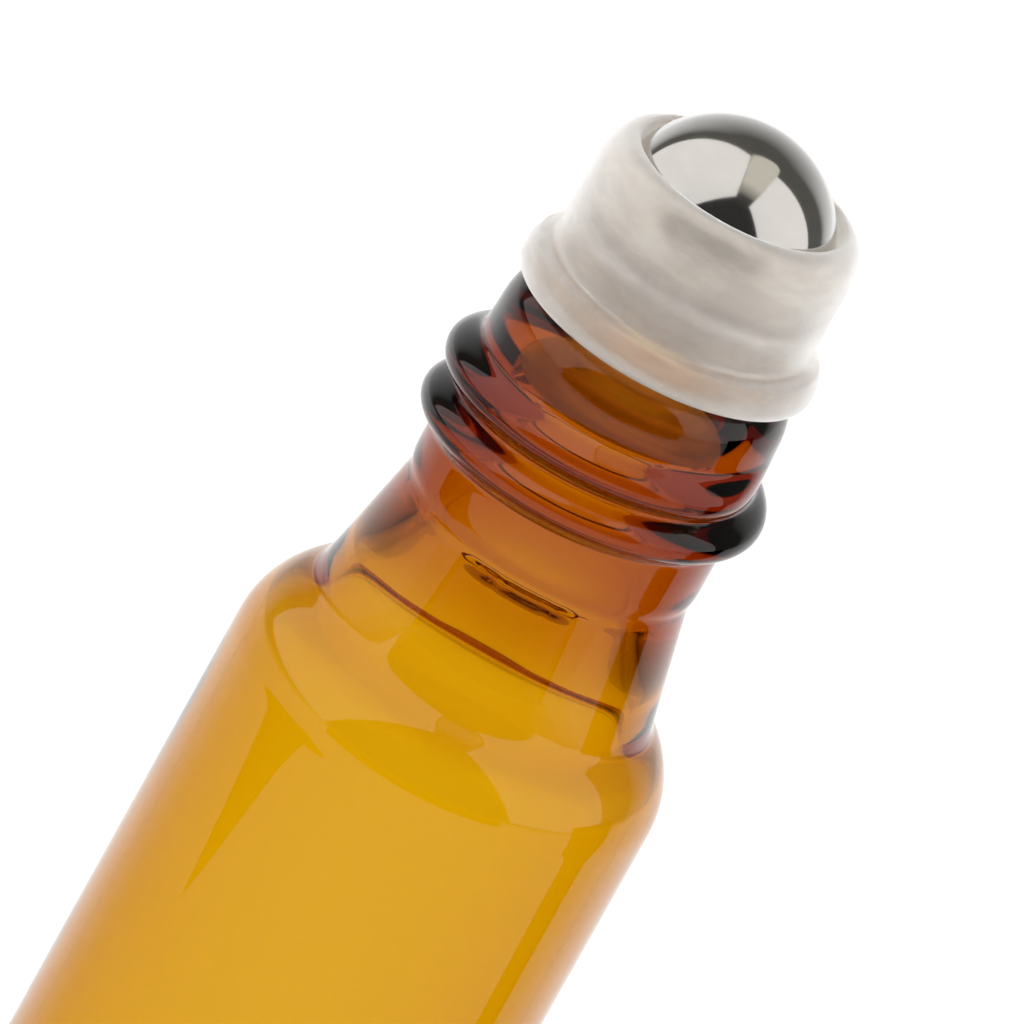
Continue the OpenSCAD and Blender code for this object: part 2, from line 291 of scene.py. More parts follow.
class StageLook(bpy.types.PropertyGroup):
    """Camera, lamps and backdrop."""

    elevation: angle("Elevation", "How far the camera looks down", 22.5)
    lean: angle("Lean", "How far the bottle leans to the right in the picture", 29.17)
    distance: bpy.props.FloatProperty(
        name="Distance", description="From the camera to the bottle", default=1.3, unit="LENGTH"
    )
    scale: share("Scale", "Picture pixels for each millimetre at the aim point", 23.72, 100)
    aim_left: length("Aim left", "How far left of the axis the picture's middle lies", 1.8)
    aim_drop: length("Aim drop", "How far below the lip the picture's middle lies", 10.66)
    panel: share("Panel", "Brightness of the soft panels", 0.9, 10)
    panel_tone: colour("Panel colour", "Colour of the soft panels", (1.0, 0.97, 0.94))
    panel_way: length("Panel distance", "The length that the studio's layout counts in", 1000)
    card: colour("Ceiling card", "Brightness of the card between the panels", (0.72, 0.68, 0.59))
    ceiling: colour("Ceiling", "Colour of the studio over the panels", (0.105, 0.10, 0.09))
    front: colour("Front", "Colour of the studio in front of the bottle", (0.037, 0.036, 0.035))
    fill: colour("Fill", "Colour of the studio as a source of soft light", (3.3, 3.3, 3.3))
    fill_front: colour("Front fill", "The same in front of the bottle", (0.1, 0.1, 0.1))
    fill_top: colour("Top fill", "The same over the bottle", (0.6, 0.6, 0.6))
    sweep: angle("Sweep", "Height to which the white sweep rises behind the bottle", 45)
    sweep_side: angle("Sweep at the sides", "Height to which it rises at the sides", 2)
    sweep_dim: share("Sweep dimness", "Brightness of the sweep at the sides, as gloss mirrors it", 0.55)
    dim_from: share("Dim from", "Share of backward way at which the sides begin to brighten", 0.3)
    dim_to: share("Dim to", "Share of backward way from which they are white", 0.77)
    glow: share("Glow", "How much the floor is lifted to white", 0.6)
    floor: share("Floor", "Paleness of the floor", 0.37)
    bounce: share("Bounce", "Paleness of the floor for the light that it throws on the bottle", 0.85)


def arc(mid, r, start, end, steps=24):
    """Points of an arc about a middle, between two angles in degrees."""
    turns = np.radians(np.linspace(start, end, steps))
    return [(mid[0] + r * math.cos(t), mid[1] + r * math.sin(t)) for t in turns]


def bend(a, b, c, steps=24):
    """Points of a curve that leaves a towards b and arrives at c from it."""
    a, b, c = np.array(a), np.array(b), np.array(c)
    return [tuple((1 - t) ** 2 * a + 2 * t * (1 - t) * b + t * t * c) for t in np.linspace(0, 1, steps)]


def rounding(mid, w, h, square, steps=28):
    """Points of a rounding from the side of a ring up to its top."""
    turns = np.radians(np.linspace(0, 90, steps))
    return [
        (mid[0] + w * math.cos(t) ** (2 / square), mid[1] + h * abs(math.sin(t)) ** (2 / square))
        for t in turns
    ]


def spaced(points, step_at):
    """The outline walked again in steps, whose size step_at gives for each place."""
    points = np.array(points)
    apart = np.linalg.norm(np.diff(points, axis=0), axis=1) > 1e-9
    points = points[np.r_[True, apart]]
    gaps = np.linalg.norm(np.diff(points, axis=0), axis=1)
    way = np.r_[0, np.cumsum(gaps)]
    fine = np.linspace(0, way[-1], int(way[-1] / FINE_STEP))
    r = np.interp(fine, way, points[:, 0])
    z = np.interp(fine, way, points[:, 1])
    count = np.cumsum(np.gradient(fine) / step_at(r, z))
    wanted = np.linspace(count[0], count[-1], int(round(count[-1] - count[0])) + 1)
    return np.c_[np.interp(wanted, count, r), np.interp(wanted, count, z)]


def softened(points, radius):
    """The outline with its corners rounded, and its two ends where they were."""
    fine = spaced(points, lambda r, z: np.full(len(r), FINE_STEP))
    # Each point becomes a bell-shaped mean of those up to three radii away.
    reach = int(3 * radius / FINE_STEP)
    weights = np.exp(-0.5 * (np.arange(-reach, reach + 1) * FINE_STEP / radius) ** 2)
    weights /= weights.sum()
    first = 2 * fine[0] - fine[1 : reach + 1][::-1]
    last = 2 * fine[-1] - fine[-reach - 1 : -1][::-1]
    long = np.vstack([first, fine, last])
    out = np.c_[np.convolve(long[:, 0], weights, "valid"), np.convolve(long[:, 1], weights, "valid")]
    out[0], out[-1] = fine[0], fine[-1]
    return out


def lathe(name, outline, segments, closed):
    """A mesh turned from an outline of (radius, height) points. An end on the axis closes to a point."""
    outline = np.array(outline)
    turns = np.arange(segments) * 2 * math.pi / segments
    verts, rows = [], []
    for r, z in outline:
        if r < ON_AXIS:
            rows.append([len(verts)] * segments)
            verts.append((0, 0, z))
        else:
            rows.append(list(range(len(verts), len(verts) + segments)))
            verts.extend((r * math.cos(t), r * math.sin(t), z) for t in turns)
    faces = []
    pairs = list(zip(rows, rows[1:] + rows[:1])) if closed else list(zip(rows, rows[1:]))
    for low, high in pairs:
        for i in range(segments):
            j = (i + 1) % segments
            corners = [low[i], low[j], high[j], high[i]]
            face = list(dict.fromkeys(corners))
            if len(face) > 2:
                faces.append(face)
    mesh = bpy.data.meshes.new(name)
    mesh.from_pydata(verts, [], faces)
    mesh.validate()
    mesh.shade_smooth()
    return mesh


def new_object(name, mesh):
    """An object at the origin for a mesh."""
    thing = bpy.data.objects.new(name, mesh)
    bpy.context.scene.collection.objects.link(thing)
    return thing


class Nodes:
    """Adds nodes to a tree and links what they are given."""

    def __init__(self, tree):
        self.tree = tree

    def add(self, kind, settings=None, **inputs):
        """A new node with its settings and inputs. An underscore in an input's name stands for a space."""
        node = self.tree.nodes.new(kind)
        for key, value in (settings or {}).items():
            setattr(node, key, value)
        for key, value in inputs.items():
            self.give(node, key.replace("_", " "), value)
        return node

    def give(self, node, key, value):
        """Links or sets the input with that name, or that number."""
        socket = node.inputs[key]
        if isinstance(value, bpy.types.NodeSocket):
            self.tree.links.new(value, socket)
        else:
            socket.default_value = value

    def maths(self, operation, *values):
        """The result of a math node for these values."""
        node = self.tree.nodes.new("ShaderNodeMath")
        node.operation = operation
        for i, value in enumerate(values):
            self.give(node, i, value)
        return node.outputs[0]

    def ranged(self, value, start, end, low=0.0, high=1.0, smooth=False):
        """The value brought from the range between start and end to the one between low and high."""
        settings = {"interpolation_type": "SMOOTHSTEP" if smooth else "LINEAR"}
        ends = {"From_Min": start, "From_Max": end, "To_Min": low, "To_Max": high}
        return self.add("ShaderNodeMapRange", settings, Value=value, **ends).outputs[0]

    def mixed(self, part, first, second):
        """A colour between two colours, by the part that the second has."""
        node = self.add("ShaderNodeMix", {"data_type": "RGBA"})
        self.give(node, 0, part)
        for key, tone in ((6, first), (7, second)):
            self.give(node, key, tone if isinstance(tone, bpy.types.NodeSocket) else (*tone, 1))
        return node.outputs[2]

    def noise(self, where, space, look):
        """The value of a noise, taken in a stretched space."""
        at = self.add("ShaderNodeMapping", Vector=where, **space).outputs[0]
        return self.add("ShaderNodeTexNoise", Vector=at, **look).outputs["Fac"]


def relief_tree(name, values):
    """A geometry tree with inputs for the geometry, the named values and the material."""
    tree = bpy.data.node_groups.new(name, "GeometryNodeTree")
    face = tree.interface
    face.new_socket("Geometry", in_out="INPUT", socket_type="NodeSocketGeometry")
    face.new_socket("Geometry", in_out="OUTPUT", socket_type="NodeSocketGeometry")
    for label in values:
        face.new_socket(label, in_out="INPUT", socket_type="NodeSocketFloat")
    face.new_socket("Material", in_out="INPUT", socket_type="NodeSocketMaterial")
    n = Nodes(tree)
    return n, n.add("NodeGroupInput").outputs


def end_relief(n, geometry, start):
    """Makes the geometry real, gives it the material and puts it out."""
    real = n.add("GeometryNodeRealizeInstances", Geometry=geometry)
    done = n.add("GeometryNodeSetMaterial", Geometry=real.outputs[0], Material=start["Material"])
    n.add("NodeGroupOutput", Geometry=done.outputs[0])


def moved(n, geometry, way, amount):
    """The geometry with its points moved by an amount along a way."""
    push = n.add("ShaderNodeVectorMath", {"operation": "SCALE"})
    n.give(push, 0, way)
    n.give(push, "Scale", amount)
    return n.add("GeometryNodeSetPosition", Geometry=geometry, Offset=push.outputs[0]).outputs[0]


def unit(n, vector):
    """The vector's direction."""
    node = n.add("ShaderNodeVectorMath", {"operation": "NORMALIZE"})
    n.give(node, 0, vector)
    return node.outputs[0]


def helix_rise(n, start, place, turns):
    """How far the thread stands out at each place, from 0 to 1, as the highest of its turns there."""
    around = n.maths("ARCTAN2", place["Y"], place["X"])
    behind = n.maths("FRACT", n.maths("MULTIPLY", around, -1 / (2 * math.pi)))
    lift = None
    for turn in range(math.ceil(turns)):
        so_far = n.maths("ADD", behind, float(turn))
        left = n.maths("SUBTRACT", start["Turns"], so_far)
        rising = n.maths("DIVIDE", so_far, start["Run-in"])
        rise = n.maths("MINIMUM", rising, n.maths("DIVIDE", left, start["Run-out"]))
        rise = n.maths("MINIMUM", n.maths("MAXIMUM", rise, 0.0), 1.0)
        rise = n.maths("POWER", n.maths("SINE", n.maths("MULTIPLY", rise, math.pi / 2)), 2.0)
        middle = n.maths("SUBTRACT", start["Start height"], n.maths("MULTIPLY", so_far, start["Pitch"]))
        off = n.maths("ABSOLUTE", n.maths("SUBTRACT", place["Z"], middle))
        off = n.maths("MINIMUM", n.maths("DIVIDE", off, start["Half width"]), 1.0)
        swell = n.maths("SUBTRACT", 1.0, n.maths("POWER", off, start["Fullness"]))
        swell = n.maths("MULTIPLY", swell, rise)
        lift = swell if lift is None else n.maths("MAXIMUM", lift, swell)
    return lift


def ridge_rise(n, start, place):
    """How far the uneven ridge stands in: a long swelling in front, and lower ones around the neck."""
    off = n.maths("DIVIDE", n.maths("SUBTRACT", place["Z"], start["Ridge height"]), start["Ridge width"])
    belt = n.maths("EXPONENT", n.maths("MULTIPLY", n.maths("MULTIPLY", off, off), -1.0))
    ahead = n.maths("DIVIDE", place["Y"], start["Bore radius"])
    front = n.ranged(ahead, *RIDGE_FRONT, smooth=True)
    noise = n.add("ShaderNodeTexNoise", {"noise_dimensions": "4D"}, **RIDGE_NOISE).outputs["Fac"]
    swelling = n.maths("MULTIPLY", n.maths("MAXIMUM", front, RIDGE_LEAST), n.ranged(noise, *RIDGE_CUT))
    return n.maths("MULTIPLY", n.maths("MULTIPLY", belt, swelling), start["Ridge"])


def glass_relief(s):
    """The tree that raises the thread, the ridge and the wall's unevenness out of the turned glass."""
    values = {
        "Start height": LIP_Z - s.thread_drop,
        "Pitch": s.thread_pitch,
        "Turns": s.thread_turns,
        "Half width": s.thread_w / 2,
        "Fullness": s.thread_full,
        "Lift": s.thread_r - s.thread_wall_r,
        "Run-in": s.run_in,
        "Run-out": s.run_out,
        "Waviness": s.wave,
        "Ridge height": LIP_Z - s.ridge_drop,
        "Ridge width": s.ridge_w,
        "Ridge": s.ridge_h,
        "Bore radius": s.bore_r,
    }
    n, start = relief_tree("Glass relief", values)
    place = n.add("ShaderNodeSeparateXYZ", Vector=n.add("GeometryNodeInputPosition").outputs[0]).outputs
    flag = n.add("GeometryNodeInputNamedAttribute", {"data_type": "FLOAT"}, Name="outside")
    outside = flag.outputs["Attribute"]
    lift = n.maths("MULTIPLY", helix_rise(n, start, place, s.thread_turns), outside)
    soft = n.add("GeometryNodeBlurAttribute", {"data_type": "FLOAT"}, Value=lift, Iterations=THREAD_BLURS)
    flat = n.add("ShaderNodeCombineXYZ", X=place["X"], Y=place["Y"]).outputs[0]
    threaded = moved(n, start["Geometry"], unit(n, flat), n.maths("MULTIPLY", soft.outputs[0], start["Lift"]))
    noise = n.add("ShaderNodeTexNoise", {"noise_dimensions": "4D"}, **WAVE_NOISE).outputs["Fac"]
    wave = n.maths("MULTIPLY", n.maths("SUBTRACT", noise, WAVE_LEVEL), start["Waviness"])
    inside = n.maths("SUBTRACT", 1.0, n.maths("MULTIPLY", outside, OUTSIDE_CALM))
    above = n.ranged(place["Z"], *WAVE_SETS_IN, smooth=True)
    wave = n.maths("MULTIPLY", n.maths("MULTIPLY", wave, inside), above)
    ridge = n.maths("MULTIPLY", ridge_rise(n, start, place), n.maths("SUBTRACT", 1.0, outside))
    normal = n.add("GeometryNodeInputNormal").outputs[0]
    end_relief(n, moved(n, threaded, normal, n.maths("ADD", wave, ridge)), start)
    return n.tree, values


def groove_relief(s):
    """The tree that presses the crossed feed grooves into the seat under the ball."""
    values = {
        "Ball height": BALL_Z,
        "Socket radius": BALL_R + s.clear,
        "Groove top": BALL_Z - s.groove_drop,
        "Half width": s.groove_w / 2,
        "Depth": s.groove_deep,
    }
    n, start = relief_tree("Feed grooves", values)
    where = n.add("GeometryNodeInputPosition").outputs[0]
    place = n.add("ShaderNodeSeparateXYZ", Vector=where).outputs
    off = n.add("ShaderNodeVectorMath", {"operation": "SUBTRACT"})
    n.give(off, 0, where)
    n.give(off, 1, n.add("ShaderNodeCombineXYZ", Z=start["Ball height"]).outputs[0])
    far = n.add("ShaderNodeVectorMath", {"operation": "LENGTH"})
    n.give(far, 0, off.outputs[0])
    reach = n.maths("ADD", start["Socket radius"], n.maths("MULTIPLY", start["Depth"], 2.0))
    near = n.ranged(far.outputs["Value"], reach, start["Socket radius"])
    across = n.maths("MINIMUM", n.maths("ABSOLUTE", place["X"]), n.maths("ABSOLUTE", place["Y"]))
    across = n.maths("SUBTRACT", across, start["Half width"])
    within = n.ranged(across, GROOVE_EDGE, -GROOVE_EDGE, smooth=True)
    down = n.maths("SUBTRACT", place["Z"], start["Groove top"])
    below = n.ranged(down, GROOVE_EDGE, -GROOVE_EDGE, smooth=True)
    deep = n.maths("MULTIPLY", n.maths("MULTIPLY", near, within), n.maths("MULTIPLY", below, start["Depth"]))
    end_relief(n, moved(n, start["Geometry"], unit(n, off.outputs[0]), deep), start)
    return n.tree, values


def with_tree(thing, tree, values, material):
    """The object's mesh after a geometry tree, as plain mesh with no modifier left."""
    modifier = thing.modifiers.new("Relief", "NODES")
    modifier.node_group = tree
    for socket in tree.interface.items_tree:
        if socket.name in values:
            modifier[socket.identifier] = values[socket.name]
        if socket.name == "Material":
            modifier[socket.identifier] = material
    evaluated = thing.evaluated_get(bpy.context.evaluated_depsgraph_get())
    mesh = bpy.data.meshes.new_from_object(evaluated)
    thing.modifiers.remove(modifier)
    thing.data = mesh
    mesh.shade_smooth()


def marks_group():
    """Handling marks, which all the materials use: a smudge mask, a fine scratch height and a cloud mask."""
    name = "Handling marks"
    if name in bpy.data.node_groups:
        return bpy.data.node_groups[name]
    tree = bpy.data.node_groups.new(name, "ShaderNodeTree")
    face = tree.interface
    for label, value in (("Smudge scale", 140.0), ("Scratch scale", 900.0)):
        face.new_socket(label, in_out="INPUT", socket_type="NodeSocketFloat").default_value = value
    for label in ("Smudge", "Scratch", "Cloud"):
        face.new_socket(label, in_out="OUTPUT", socket_type="NodeSocketFloat")
    n = Nodes(tree)
    given = n.add("NodeGroupInput").outputs
    where = n.add("ShaderNodeTexCoord").outputs["Object"]
    smudge = n.add("ShaderNodeTexNoise", Vector=where, Scale=given["Smudge scale"], **SMUDGE_NOISE)
    smudge = n.ranged(smudge.outputs["Fac"], *SMUDGE_CUT, smooth=True)
    scratch = n.noise(where, SCRATCH_SPACE, {"Scale": given["Scratch scale"], **SCRATCH_NOISE})
    broad = n.maths("MULTIPLY", n.noise(where, CLOUD_SPACE, CLOUD_NOISE), 1 - FINE_CLOUDS)
    fine = n.maths("MULTIPLY", n.noise(where, FINE_CLOUD_SPACE, FINE_CLOUD_NOISE), FINE_CLOUDS)
    n.add("NodeGroupOutput", Smudge=smudge, Scratch=scratch, Cloud=n.maths("ADD", broad, fine))
    return tree


def new_material(name):
    """A material with an empty tree."""
    material = bpy.data.materials.new(name)
    material.use_nodes = True
    material.node_tree.nodes.clear()
    return material, Nodes(material.node_tree)


def principled(n, volume=None):
    """A Principled shader that is linked to the output, and the values of the handling marks."""
    shader = n.add("ShaderNodeBsdfPrincipled")
    output = n.add("ShaderNodeOutputMaterial", Surface=shader.outputs[0])
    if volume:
        n.give(output, "Volume", volume)
    return shader, n.add("ShaderNodeGroup", {"node_tree": marks_group()}).outputs


def tinted(tone, part):
    """A colour made lighter or darker."""
    return tuple(c * part for c in tone)


def glass_material(sizes):
    """Amber glass, coloured by its depth, with faint smudges."""
    material, n = new_material("Amber glass")
    inside = n.add("ShaderNodeVolumeAbsorption", Color=(*sizes.tint, 1), Density=sizes.depth)
    shader, marks = principled(n, inside.outputs[0])
    n.give(shader, "Base Color", (1, 1, 1, 1))
    n.give(shader, "IOR", 1.52)
    n.give(shader, "Transmission Weight", 1.0)
    n.give(shader, "Roughness", n.ranged(marks["Smudge"], 0.0, 1.0, high=GLASS_SMUDGE))
    return material


def plastic_material(sizes):
    """Frosted natural plastic: cloudy, softly see-through, with a faint moulded grain."""
    material, n = new_material("Frosted plastic")
    shader, marks = principled(n)
    cloud = n.ranged(marks["Cloud"], *CLOUD_CUT, smooth=True)
    n.give(shader, "Base Color", n.mixed(cloud, tinted(sizes.tone, CLOUD_TONE), sizes.tone))
    n.give(shader, "Roughness", n.ranged(marks["Smudge"], 0.0, 1.0, *PLASTIC_ROUGH))
    n.give(shader, "IOR", 1.49)
    n.give(shader, "Transmission Weight", sizes.clear_share)
    n.give(shader, "Subsurface Weight", 1.0)
    n.give(shader, "Sheen Weight", sizes.bloom)
    n.give(shader, "Sheen Roughness", 0.4)
    n.give(shader, "Subsurface Radius", (1.0, 0.95, 0.9))
    n.give(shader, "Subsurface Scale", sizes.scatter)
    bump = n.add("ShaderNodeBump", Height=marks["Scratch"], Strength=0.08, Distance=0.1 * MM)
    n.give(shader, "Normal", bump.outputs[0])
    return material


def steel_material(look):
    """Mirror-polished steel with faint polishing marks."""
    material, n = new_material("Polished steel")
    shader, marks = principled(n)
    pale, dark = (tinted(look.tone, part) for part in STEEL_TONES)
    n.give(shader, "Base Color", n.mixed(marks["Cloud"], pale, dark))
    n.give(shader, "Metallic", 1.0)
    rough = n.ranged(marks["Smudge"], 0.0, 1.0, look.rough, look.rough * STEEL_SMUDGE)
    n.give(shader, "Roughness", rough)
    bump = n.add("ShaderNodeBump", Height=marks["Scratch"], Strength=0.01, Distance=0.05 * MM)
    n.give(shader, "Normal", bump.outputs[0])
    return material


def glass_outlines(s):
    """Outer and inner outline of the glass, from the axis under the base to the lip, and back to the axis."""
    rest_r = BODY_R - s.heel_r
    dome_r = rest_r - s.rest_w
    dome_ball = (dome_r**2 + s.push_up**2) / (2 * s.push_up)
    shoulder_z = LIP_Z - s.shoulder_drop
    rise = s.shoulder_drop - s.crease_drop
    turn = 2 * math.atan((BODY_R - s.crease_r) / rise)
    arc_r = rise / math.sin(turn)
    mid = (BODY_R - arc_r, shoulder_z)
    waist_z = LIP_Z - s.waist_drop
    flare_z = LIP_Z - s.flare_drop
    crease_z = LIP_Z - s.crease_drop
    slope = (s.flare_r - s.waist_r) / (s.flare_drop - s.waist_drop)
    bend_z = (flare_z + crease_z) / 2
    bend_r = s.flare_r + slope * (flare_z - bend_z)
    outer = (
        arc((0, s.push_up - dome_ball), dome_ball, 90, math.degrees(math.acos(dome_r / dome_ball)))
        + arc((rest_r, s.heel_r), s.heel_r, -90, 0)
        + arc(mid, arc_r, 0, math.degrees(turn))
        + bend((s.crease_r, crease_z), (bend_r, bend_z), (s.flare_r, flare_z))
        + bend((s.waist_r, waist_z), (s.thread_wall_r, waist_z), (s.thread_wall_r, waist_z + s.waist_step))
        + [(s.thread_wall_r, LIP_Z - s.thread_drop)]
        + rounding((s.lip_r - s.lip_round_w, LIP_Z - s.lip_round_h), s.lip_round_w, s.lip_round_h, square=2)
    )
    inner_r = BODY_R - s.wall
    floor_z = s.push_up + s.floor
    inner_arc = arc_r - s.wall
    flare = (s.flare_r - s.neck_wall, flare_z)
    crease = (s.crease_r - s.crease_in_w, crease_z - s.crease_in_h)
    bent = (
        flare[0] + s.flare_bend_w * (crease[0] - flare[0]),
        flare[1] + s.flare_bend_h * (crease[1] - flare[1]),
    )
    mouth = arc((s.bore_r + s.bore_round, LIP_Z - s.bore_round), s.bore_round, 90, 180)
    inner = (
        mouth[-1:]
        + bend((s.bore_r, LIP_Z - s.bore_drop), (s.bore_r, LIP_Z - s.widen_drop), flare)
        + bend(flare, bent, crease)
        + arc(mid, inner_arc, math.degrees(turn) * s.thin_turn, 0)
        + arc((inner_r - s.floor_corner, floor_z + s.floor_corner), s.floor_corner, 0, -90)
        + [(0, floor_z)]
    )
    return softened(outer, s.soften), np.vstack([mouth[:-1], softened(inner, s.soften_in)])


class ROLLON_OT_glass(bpy.types.Operator):
    """Turns the glass bottle, raises its cap thread and gives it amber glass"""

    bl_idname = "roll_on.glass"
    bl_label = "Glass bottle"

    def execute(self, context):
        s = context.scene.rollon_glass
        outer, inner = glass_outlines(s)
        thread_low = LIP_Z - s.waist_drop

        def outer_step(r, z):
            """Long steps on the straight side, fine ones under the thread."""
            straight = (z > s.heel_r + MM) & (z < LIP_Z - s.shoulder_drop - MM)
            return np.where(straight, LONG_STEP, np.where(z > thread_low, THREAD_STEP, OUTSIDE_STEP))

        def inner_step(r, z):
            """Long steps on the straight side, fine ones at the ridge."""
            straight = (z > INSIDE_STRAIGHT_Z) & (z < LIP_Z - s.shoulder_drop - MM)
            belt = (z > LIP_Z - RIDGE_BELT[1]) & (z < LIP_Z - RIDGE_BELT[0])
            return np.where(straight, LONG_STEP, np.where(belt, RIDGE_STEP, INSIDE_STEP))

        outer = spaced(outer, outer_step)
        inner = spaced(inner, inner_step)
        mesh = lathe("glass_bottle_piece", np.vstack([outer, inner]), GLASS_AROUND, closed=False)
        flag = mesh.attributes.new("outside", "FLOAT", "POINT")
        outside = np.zeros(len(mesh.vertices), dtype=np.float32)
        # The outer outline's first point is on the axis, and so a single vertex.
        outside[: 1 + (len(outer) - 1) * GLASS_AROUND] = 1.0
        flag.data.foreach_set("value", outside)
        thing = new_object("amber_glass_bottle", mesh)
        with_tree(thing, *glass_relief(s), glass_material(s))
        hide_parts("glass_bottle")
        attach(thing, "bottle")
        return {"FINISHED"}


def seal_points(s, z, steps=14):
    """Points of a sealing ring on the plug, upwards."""
    turns = np.radians(np.linspace(0, 180, steps))
    return [(s.plug_r + s.seal_h * math.sin(t), z - s.seal_w / 2 * math.cos(t)) for t in turns]


def housing_outline(s):
    """The housing's outline, from the feed hole through the plug, up the outside and down the socket."""
    socket_r = BALL_R + s.clear
    hollow_ball = socket_r + s.floor
    hollow_r = s.plug_r - s.plug_wall
    mouth_r = BALL_R - s.snap
    mouth_turn = math.degrees(math.acos(mouth_r / socket_r))

    def bowl_turn(r, ball):
        """The angle below level at which a ball of this radius is that far from the axis."""
        return -math.degrees(math.acos(r / ball))

    top = LIP_Z + s.flange_side + s.flange_crown
    collar_z = LIP_Z - s.collar_h
    seal_step = (collar_z - PLUG_END_Z - s.bevel) / SEAL_RINGS
    points = arc((0, BALL_Z), hollow_ball, bowl_turn(s.feed_r, hollow_ball), bowl_turn(hollow_r, hollow_ball))
    points += [(hollow_r, PLUG_END_Z), (s.plug_r - s.bevel, PLUG_END_Z), (s.plug_r, PLUG_END_Z + s.bevel)]
    for ring in reversed(range(SEAL_RINGS)):
        points += seal_points(s, collar_z - seal_step * (ring + 0.5))
    collar_r = s.plug_r + s.seal_h
    points += [(s.plug_r, collar_z), (collar_r, collar_z + s.seal_h), (collar_r, LIP_Z)]
    side = LIP_Z + s.flange_side
    wide = (s.flange_r, LIP_Z + s.flange_wide)
    points += bend((s.flange_seat_r, LIP_Z), (s.flange_r, (LIP_Z + wide[1]) / 2), wide)
    points += bend(wide, (s.flange_r, (wide[1] + side) / 2), (s.flange_top_r, side))
    points += bend((s.cup_r + s.foot_round_w, top), (s.cup_r, top), (s.cup_r, top + s.foot_round_h))
    points += rounding((mouth_r, RIM_Z - s.rim_round), s.cup_r - mouth_r, s.rim_round, square=2.5)
    points += arc((0, BALL_Z), socket_r, mouth_turn, bowl_turn(s.feed_r, socket_r), steps=60)
    return points + points[:1]


class ROLLON_OT_housing(bpy.types.Operator):
    """Turns the roller housing, cuts its feed grooves and gives it frosted plastic"""

    bl_idname = "roll_on.housing"
    bl_label = "Roller housing"

    def execute(self, context):
        s = context.scene.rollon_housing
        outline = softened(housing_outline(s), s.soften)
        outline = spaced(outline, lambda r, z: np.full(len(r), HOUSING_STEP))[:-1]
        mesh = lathe("roller_housing_piece", outline, SMALL_AROUND, closed=True)
        thing = new_object("frosted_roller_housing", mesh)
        with_tree(thing, *groove_relief(s), plastic_material(s))
        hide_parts("roller_housing")
        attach(thing, "housing")
        return {"FINISHED"}


class ROLLON_OT_ball(bpy.types.Operator):
    """Turns the ball and gives it mirror-polished steel"""

    bl_idname = "roll_on.ball"
    bl_label = "Steel ball"

    def execute(self, context):
        outline = arc((0, BALL_Z), BALL_R, -90, 90, steps=BALL_RISE)
        outline[0], outline[-1] = (0, BALL_Z - BALL_R), (0, BALL_Z + BALL_R)
        mesh = lathe("steel_ball_piece", outline, SMALL_AROUND, closed=False)
        thing = new_object("polished_steel_ball", mesh)
        mesh.materials.append(steel_material(context.scene.rollon_ball))
        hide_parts("steel_ball")
        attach(thing, "ball")
        return {"FINISHED"}


def add_camera(look):
    """The long-lens camera, rolled so that the bottle leans to the right in the picture."""
    down = look.elevation
    back = Vector((0, -math.cos(down), math.sin(down)))
    right, up = Vector((1, 0, 0)), Vector((0, math.sin(down), math.cos(down)))
    rolled_right = right * math.cos(look.lean) + up * math.sin(look.lean)
    rolled_up = up * math.cos(look.lean) - right * math.sin(look.lean)
    data = bpy.data.cameras.new("Camera")
    camera = bpy.data.objects.new("Camera", data)
    bpy.context.scene.collection.objects.link(camera)
    aim = Vector((-look.aim_left, 0, LIP_Z - look.aim_drop))
    camera.location = aim + back * look.distance
    turn = np.array([rolled_right, rolled_up, back]).T
    camera.rotation_mode = "QUATERNION"
    camera.rotation_quaternion = Matrix(turn.tolist()).to_quaternion()
    data.sensor_width = 36
    picture_width = 1024
    data.lens = look.scale / MM * look.distance * data.sensor_width / picture_width
    data.clip_start, data.clip_end = 0.01, 20
    bpy.context.scene.camera = camera


def seen_ray(n, look):
    """1 for rays from the camera and through glass, and for those off gloss that land behind the bottle."""
    rays = n.add("ShaderNodeLightPath").outputs
    where = n.add("ShaderNodeVectorMath", {"operation": "NORMALIZE"})
    n.give(where, 0, n.add("ShaderNodeNewGeometry").outputs["Position"])
    back = n.add("ShaderNodeSeparateXYZ", Vector=where.outputs[0]).outputs["Y"]
    behind = n.ranged(back, look.dim_from, look.dim_to)
    seen = n.maths("MAXIMUM", rays["Is Camera Ray"], n.maths("MULTIPLY", rays["Is Glossy Ray"], behind))
    return n.maths("MAXIMUM", seen, rays["Is Transmission Ray"])


def add_floor(look):
    """A pale floor, which camera, gloss and glass see as white with the shadow kept."""
    radius, corners = 3.0, 48
    turns = np.arange(corners) * 2 * math.pi / corners
    verts = [(radius * math.cos(t), radius * math.sin(t), 0) for t in turns]
    mesh = bpy.data.meshes.new("floor")
    mesh.from_pydata(verts, [], [list(range(corners))])
    floor = new_object("floor", mesh)
    material, n = new_material("Pale floor")
    bounced = n.add("ShaderNodeLightPath").outputs["Is Diffuse Ray"]
    pale = n.mixed(bounced, [look.floor] * 3, [look.bounce] * 3)
    lit = n.add("ShaderNodeBsdfDiffuse", Color=pale)
    strength = n.maths("MULTIPLY", seen_ray(n, look), look.glow)
    glow = n.add("ShaderNodeEmission", Color=(1, 1, 1, 1), Strength=strength)
    both = n.add("ShaderNodeAddShader")
    n.give(both, 0, lit.outputs[0])
    n.give(both, 1, glow.outputs[0])
    n.add("ShaderNodeOutputMaterial", Surface=both.outputs[0])
    mesh.materials.append(material)


